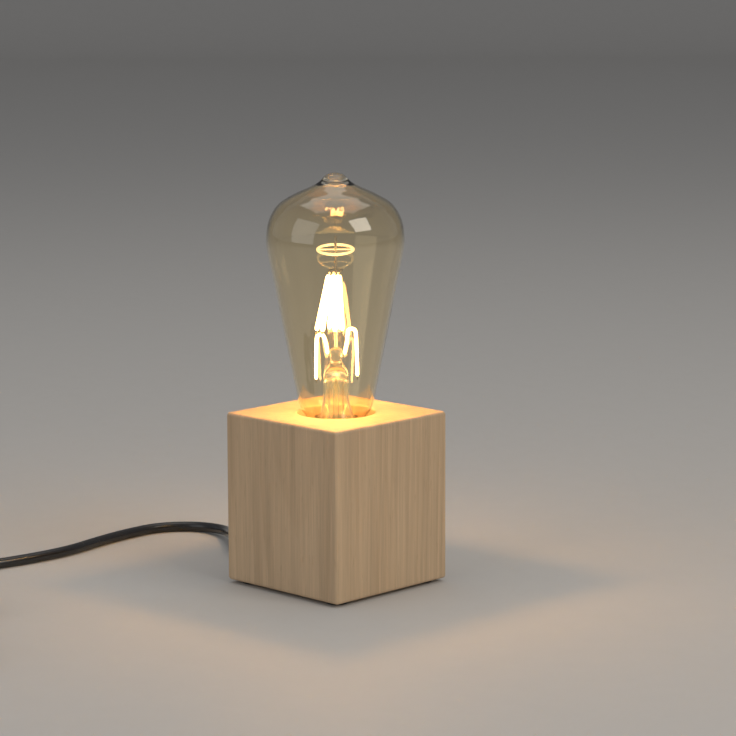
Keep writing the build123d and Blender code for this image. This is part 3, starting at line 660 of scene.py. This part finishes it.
GLASS_OUTLINE = [
    (11.6, 66.0), (11.6, 70.0), (11.6, 73.6), (11.9, 75.6), (13.0, 77.7), (14.9, 80.3), (16.7, 83.4), (18.0, 88.6),
    (20.9, 103.0), (25.3, 125.6), (28.1, 140.6), (31.3, 155.6), (32.0, 163.2), (30.6, 171.4), (26.4, 178.4),
    (19.5, 182.9), (12.4, 186.2), (7.9, 188.6), (4.2, 192.0), (1.6, 193.05), (0.0, 193.2),
]


def make_glass():
    """The clear amber envelope: a smooth outline and the same outline moved in square to itself by the wall,
    carried round the axis as one closed surface. Under the sealed tip the inside runs on as a plain dome, a
    cubic curve, so that the tip is solid glass."""
    wall = bpy.context.scene.lamp_sizes.glass_wall
    skin = smooth_line(np.array(GLASS_OUTLINE) * MM, 230)
    along = np.gradient(skin, axis=0)
    along /= np.linalg.norm(along, axis=1)[:, None]
    lining = skin + wall * np.column_stack([-along[:, 1], along[:, 0]])
    lining[0] = (skin[0, 0] - wall, skin[0, 1])
    skin[-1, 0] = 0
    shoulder = int(np.argmax((lining[:, 1] > 183 * MM) & (lining[:, 0] < 9.5 * MM)))
    edge = lining[shoulder]
    slope = (lining[shoulder] - lining[shoulder - 1]) / np.linalg.norm(lining[shoulder] - lining[shoulder - 1])
    u = np.linspace(0, 1, 40)[1:, None]
    peak = np.array([0, edge[1] + 0.24 * edge[0]])
    dome = (1 - u) ** 3 * edge + 3 * (1 - u) ** 2 * u * (edge + slope * 0.42 * edge[0]) \
        + 3 * (1 - u) * u**2 * (peak + (0.42 * edge[0], 0)) + u**3 * peak
    lining = np.vstack([lining[:shoulder + 1], dome])
    tint = bpy.context.scene.lamp_colours.glass
    amber = glass_material("clear amber glass", tint, 0.0, (0.97, 0.90, 0.78))
    glass = turned("glass_bulb", np.vstack([skin, lining[::-1]]), "bulb", amber, steps=160, sharp=80)
    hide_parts("glass_envelope")


def make_stem():
    """The glass stem: a flared foot sealed into the neck, a tube, and a flat pinch on top.

    Its half width across the leads and its half depth are two functions of height; a section is the ellipse
    between them. The tube is hollow up to the pinch."""
    clear = glass_material("clear stem glass", (1.0, 0.95, 0.84), 0.1, (0.97, 0.93, 0.85), 0.05)
    heights = np.array([74.2, 75.6, 79.0, 83.0, 88.0, 93.0, 98.0, 100.6, 102.4, 103.8, 105.4, 107.4, 109.6, 111.2,
                        111.8, 112.0])
    widths = np.array([10.6, 9.9, 8.6, 7.1, 6.0, 6.0, 6.0, 5.8, 4.9, 3.6, 2.8, 2.7, 3.1, 2.4, 1.3, 0.0])
    depths = np.array([10.6, 9.9, 8.6, 7.1, 6.0, 6.0, 5.9, 5.2, 3.9, 2.7, 2.0, 1.8, 1.8, 1.4, 0.9, 0.0])
    shape = smooth_line(np.column_stack([heights, widths, depths]) * MM, 110)
    shape[:, 1:] = np.maximum(shape[:, 1:], 0)
    inner_heights = np.array([100.0, 99.6, 98.2, 96.0, 92.0, 88.0, 83.0, 79.0, 75.6, 74.2, 74.0])
    inner_radii = np.array([0.0, 2.2, 4.2, 5.0, 5.1, 5.15, 6.2, 7.7, 9.1, 9.8, 10.0])
    lining = smooth_line(np.column_stack([inner_heights, inner_radii, inner_radii]) * MM, 80)
    lining[:, 1:] = np.maximum(lining[:, 1:], 0)
    rows = np.vstack([shape, [[112 * MM, 0, 0]], [[100 * MM, 0, 0]], lining])
    bearing = math.radians(VIEW_SIDE)
    across = np.array([math.cos(bearing), math.sin(bearing), 0])
    away = np.array([-math.sin(bearing), math.cos(bearing), 0])
    t = np.linspace(0, TAU, 96, endpoint=False)
    points = (rows[:, 1, None] * np.cos(t))[..., None] * across + (rows[:, 2, None] * np.sin(t))[..., None] * away
    points[..., 2] += rows[:, :1]
    faces = grid_faces(len(rows), 96, True, True)
    stem = new_piece("stem_and_pinch", *welded(points.reshape(-1, 3), faces), "bulb", clear, 60)
    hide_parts("glass_stem")
    dress(clear, "exhaust_tube")


def beside(across, away, height):
    """A place in metres from millimetres across and away from the side that the lamp is looked at from."""
    turn = math.radians(VIEW_SIDE)
    return (MM * (across * math.cos(turn) - away * math.sin(turn)),
            MM * (across * math.sin(turn) + away * math.cos(turn)), MM * height)


def make_filaments():
    """Eight lit filaments: phosphor-coated round bars, slimmer at both ends where a metal tab takes over.

    Six lean on the hub like tent poles; two thinner ones turn over above the pinch and hang beside the stem."""
    sizes = bpy.context.scene.lamp_sizes
    glow = bpy.context.scene.lamp_colours.glow
    lit = filament_material("lit phosphor", (0.90, 0.62, 0.16), glow, FILAMENT_POWER)
    nickel = grouped_material("nickel wire", "handled", {"Color": (0.62, 0.58, 0.52, 1), "Roughness": 0.28},
                              Metallic=1.0)
    radius = sizes.filament_width / 2
    feet = [(-9.2, -1.0), (-6.4, -4.2), (-3.2, 4.0), (-0.4, -4.6), (1.4, 4.4), (3.1, -0.9)]
    tops = [(-2.9, 0.2), (-1.8, -2.0), (-0.9, 2.0), (0.3, -2.3), (1.3, 2.2), (1.7, -0.3)]
    for number, (foot, top) in enumerate(zip(feet, tops)):
        ends = np.array([beside(*foot, 118.5), beside(*top, 147.3)])
        line = ends[0] + (ends[1] - ends[0]) * np.linspace(0, 1, 60)[:, None]
        filament(f"filament_pole_{number + 1}", line, radius, lit, nickel, f"filament_{number + 1}")
    routes = {
        "left": [(-3.7, 1.4, 107.0), (-4.6, 2.2, 113.0), (-6.0, 2.6, 117.0), (-8.0, 2.6, 117.2), (-9.1, 2.2, 114.0),
                 (-9.3, 1.0, 95.0)],
        "right": [(3.7, 1.4, 107.0), (5.2, 2.2, 115.0), (5.8, 2.6, 119.6), (8.6, 2.6, 119.8), (9.4, 2.2, 115.5),
                  (10.0, 1.0, 96.5)],
    }
    for name, route in routes.items():
        filament(f"hanging_filament_{name}", smooth_line(np.array([beside(*place) for place in route]), 120),
                 0.75 * radius, lit, nickel, f"filament_loop_{name}")
    dress(nickel, "stem_lead_left", "stem_lead_right", "support_rod", "filament_hub")
    # Painted highlight: a faint warm emission on the hoop wire stands in for the filament light that it would catch;
    # the hoop is no lamp.
    hoop_painted_glow = grouped_material("hoop wire painted glow", "handled", {"Color": (0.90, 0.78, 0.52, 1), "Roughness": 0.2},
                            Metallic=1.0, Emission_Color=(1.0, 0.74, 0.34, 1), Emission_Strength=1.6)
    dress(hoop_painted_glow, "wire_hoop")


def filament(name, line, radius, lit, nickel, node):
    """A lit bar with rounded ends and a short metal tab at each end, all one piece."""
    steps = np.linalg.norm(np.diff(line, axis=0), axis=1)
    whole = steps.sum()
    s = np.concatenate([[0], np.cumsum(steps)])
    tab = 1.6 * MM
    near = np.minimum(s, whole - s)
    swell = np.clip((near - tab) / (0.8 * MM), 0.05, 1)
    thick = np.where(near < tab, 0.45 * radius, radius * np.sqrt(1 - (1 - swell) ** 2))
    piece = tube(name, line, np.maximum(thick, 0.45 * radius), "bulb", lit, (0.31, -0.95, 0.02), sides=18)
    piece.data.materials.append(nickel)
    centres = np.empty(len(piece.data.polygons) * 3)
    piece.data.polygons.foreach_get("center", centres)
    centres = centres.reshape(-1, 3)
    ends = np.minimum(np.linalg.norm(centres - line[0], axis=1), np.linalg.norm(centres - line[-1], axis=1))
    piece.data.polygons.foreach_set("material_index", (ends < tab).astype(np.int32))
    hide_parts(node)


def make_driver():
    """Finishes of the driver board and the radio parts inside the cap."""
    looks = {
        "white board": (("driver_board",), (0.74, 0.75, 0.70), 0.45, 0.0),
        "moulded black": (("bridge_rectifier", "inductor"), (0.025, 0.025, 0.027), 0.5, 0.0),
        "tinned shield": (("radio_module", "radio_antenna"), (0.66, 0.66, 0.65), 0.3, 1.0),
        "capacitor sleeve": (("smoothing_capacitor",), (0.022, 0.024, 0.035), 0.25, 0.0),
        "resistor lacquer": (("fusible_resistor",), (0.20, 0.38, 0.27), 0.35, 0.0),
    }
    for name, (nodes, tone, roughness, metallic) in looks.items():
        values = {"Color": (*tone, 1), "Roughness": roughness}
        dress(grouped_material(name, "handled", values, Metallic=metallic), *nodes)


# ---------------------------------------------------------------- the stage

def aimed(thing, place, target):
    """Put a lamp or camera at a place and turn its -Z axis at a target."""
    from mathutils import Vector
    thing.location = place
    thing.rotation_euler = (Vector(target) - Vector(place)).to_track_quat("-Z", "Y").to_euler()


def studio_lamp(name, place, target, size, power, tone):
    """A square soft box."""
    light = bpy.data.lights.new(name, "AREA")
    light.size = size
    light.energy = power
    light.color = tone
    lamp = bpy.data.objects.new(name, light)
    bpy.context.scene.collection.objects.link(lamp)
    aimed(lamp, place, target)
    return lamp


def make_stage():
    """A plain pale floor that curves up into a backdrop, soft boxes, the bulb's own light and the camera."""
    scene = bpy.context.scene
    floor_look = grouped_material("pale floor", "handled", {"Color": (*scene.lamp_colours.floor, 1), "Roughness": 0.62,
                                                            "Variation": 0.02, "Smudge": 0.04, "Texture size": 900.0},
                                  bump=(0.04, 0.0001))
    turn = math.radians(CAMERA_TURN)
    away = np.array([-math.sin(turn), math.cos(turn)])
    across = np.array([math.cos(turn), math.sin(turn)])
    bend = np.linspace(0, math.pi / 2, 24)
    depth = np.concatenate([[-5.0], 4.4 + 0.6 * np.sin(bend), [5.0]])
    height = np.concatenate([[0], 0.6 - 0.6 * np.cos(bend), [4.0]])
    side = np.linspace(-6, 6, 2)
    ground = depth[:, None, None] * away + side[None, :, None] * across
    points = np.dstack([ground, np.repeat(height[:, None], 2, axis=1)])
    mesh = bpy.data.meshes.new("backdrop")
    mesh.from_pydata(points.reshape(-1, 3), [], grid_faces(len(depth), 2, False, False).tolist())
    mesh.flip_normals()
    mesh.shade_smooth()
    mesh.materials.append(floor_look)
    backdrop = bpy.data.objects.new("backdrop", mesh)
    scene.collection.objects.link(backdrop)

    back = np.array([math.sin(turn), -math.cos(turn), 0])
    right = np.array([*across, 0])
    middle = np.array([0, 0, 0.09])
    key = studio_lamp("key", middle + 0.9 * back + 1.1 * right + (0, 0, 1.0), middle, 0.9, 9.0, (1.0, 0.95, 0.88))
    fill = studio_lamp("fill", middle + 0.8 * back - 1.2 * right + (0, 0, 0.6), middle, 1.2, 3.5, (0.95, 0.97, 1.0))
    top = studio_lamp("top", middle - 0.3 * back + (0, 0, 1.5), middle, 1.4, 5.0, (1.0, 0.97, 0.93))
    world = bpy.data.worlds.new("studio")
    world.use_nodes = True
    world.node_tree.nodes["Background"].inputs["Color"].default_value = (0.80, 0.82, 0.86, 1)
    world.node_tree.nodes["Background"].inputs["Strength"].default_value = 0.28
    scene.world = world

    lens = bpy.data.cameras.new("camera")
    lens.lens = CAMERA_LENS
    lens.sensor_width = 36.0
    camera = bpy.data.objects.new("camera", lens)
    scene.collection.objects.link(camera)
    rise = math.radians(CAMERA_RISE)
    target = np.array(CAMERA_TARGET) * MM
    towards = np.array([math.sin(turn) * math.cos(rise), -math.cos(turn) * math.cos(rise), math.sin(rise)])
    place = target + CAMERA_DISTANCE * towards
    aimed(camera, place, target)
    camera.rotation_euler.rotate_axis("Z", math.radians(CAMERA_ROLL))
    scene.camera = camera
    scene.view_settings.view_transform = "Standard"
    glow = bpy.data.lights.new("bulb glow", "POINT")
    glow.energy = 0.5
    glow.color = (1.0, 0.60, 0.22)
    glow.shadow_soft_size = 0.006
    bulb_light = bpy.data.objects.new("bulb glow", glow)
    bulb_light.location = (0, 0, 0.125)
    bulb_light.visible_camera = bulb_light.visible_transmission = bulb_light.visible_glossy = False
    scene.collection.objects.link(bulb_light)


# ---------------------------------------------------------------- operators

class LAMP_OT_wood(bpy.types.Operator):
    """Give the wooden cube its timber"""
    bl_idname = "lamp.wood"
    bl_label = "Cube"

    def execute(self, context):
        make_wood()
        return {"FINISHED"}


class LAMP_OT_base_fittings(bpy.types.Operator):
    """Give the plate, the screws and the feet their finishes"""
    bl_idname = "lamp.base_fittings"
    bl_label = "Base plate, screws and feet"

    def execute(self, context):
        make_base_fittings()
        return {"FINISHED"}


class LAMP_OT_lampholder(bpy.types.Operator):
    """Give the lampholder's pieces and wires their finishes"""
    bl_idname = "lamp.lampholder"
    bl_label = "Lampholder"

    def execute(self, context):
        make_lampholder()
        return {"FINISHED"}


class LAMP_OT_holder_thread(bpy.types.Operator):
    """Make the lampholder's threaded brass sleeve"""
    bl_idname = "lamp.holder_thread"
    bl_label = "Holder's screw sleeve"

    def execute(self, context):
        make_holder_thread()
        return {"FINISHED"}


class LAMP_OT_contact_spring(bpy.types.Operator):
    """Make the coil spring under the centre contact"""
    bl_idname = "lamp.contact_spring"
    bl_label = "Contact spring"

    def execute(self, context):
        make_contact_spring()
        return {"FINISHED"}


class LAMP_OT_cord(bpy.types.Operator):
    """Make the supply cord, its gland, its tie and its plug"""
    bl_idname = "lamp.cord"
    bl_label = "Supply cord and plug"

    def execute(self, context):
        make_cord()
        return {"FINISHED"}


class LAMP_OT_cap(bpy.types.Operator):
    """Make the bulb's threaded cap with its contact"""
    bl_idname = "lamp.cap"
    bl_label = "Screw cap"

    def execute(self, context):
        make_cap()
        return {"FINISHED"}


class LAMP_OT_driver(bpy.types.Operator):
    """Give the driver board and its parts their finishes"""
    bl_idname = "lamp.driver"
    bl_label = "Driver board"

    def execute(self, context):
        make_driver()
        return {"FINISHED"}


class LAMP_OT_collar(bpy.types.Operator):
    """Make the collar at the bulb's neck"""
    bl_idname = "lamp.collar"
    bl_label = "Gold collar"

    def execute(self, context):
        make_collar()
        return {"FINISHED"}


class LAMP_OT_stem(bpy.types.Operator):
    """Make the stem and its flat pinch"""
    bl_idname = "lamp.stem"
    bl_label = "Glass stem"

    def execute(self, context):
        make_stem()
        return {"FINISHED"}


class LAMP_OT_filaments(bpy.types.Operator):
    """Make the six lit filaments and give their leads a finish"""
    bl_idname = "lamp.filaments"
    bl_label = "Filaments and leads"

    def execute(self, context):
        make_filaments()
        return {"FINISHED"}


class LAMP_OT_glass(bpy.types.Operator):
    """Make the clear amber envelope"""
    bl_idname = "lamp.glass"
    bl_label = "Glass bulb"

    def execute(self, context):
        make_glass()
        return {"FINISHED"}


class LAMP_OT_stage(bpy.types.Operator):
    """Make the floor, the lights and the camera"""
    bl_idname = "lamp.stage"
    bl_label = "Stage"

    def execute(self, context):
        make_stage()
        return {"FINISHED"}


STEPS = (LAMP_OT_wood, LAMP_OT_base_fittings, LAMP_OT_lampholder, LAMP_OT_holder_thread, LAMP_OT_contact_spring,
         LAMP_OT_cord, LAMP_OT_cap, LAMP_OT_driver, LAMP_OT_collar, LAMP_OT_stem, LAMP_OT_filaments, LAMP_OT_glass,
         LAMP_OT_stage)


class LAMP_PT_sidebar(bpy.types.Panel):
    """Sizes, colours and the steps in order"""
    bl_label = "Cube lamp"
    bl_space_type = "VIEW_3D"
    bl_region_type = "UI"
    bl_category = "Cube lamp"

    def draw(self, context):
        for group_of_settings in (context.scene.lamp_sizes, context.scene.lamp_colours):
            box = self.layout.box()
            for name in group_of_settings.__annotations__:
                box.prop(group_of_settings, name)
        for step in STEPS:
            self.layout.operator(step.bl_idname)


def register():
    for made in (LampSizes, LampColours, *STEPS, LAMP_PT_sidebar):
        bpy.utils.register_class(made)
    bpy.types.Scene.lamp_sizes = bpy.props.PointerProperty(type=LampSizes)
    bpy.types.Scene.lamp_colours = bpy.props.PointerProperty(type=LampColours)


def unregister():
    del bpy.types.Scene.lamp_colours
    del bpy.types.Scene.lamp_sizes
    for made in reversed((LampSizes, LampColours, *STEPS, LAMP_PT_sidebar)):
        bpy.utils.unregister_class(made)


def main():
    """Make everything in order."""
    register()
    for step in STEPS:
        name = step.bl_idname.split(".")[1]
        if getattr(bpy.ops.lamp, name)() != {"FINISHED"}:
            raise RuntimeError(f"{step.bl_label} did not finish")


if __name__ == "__main__":
    main()
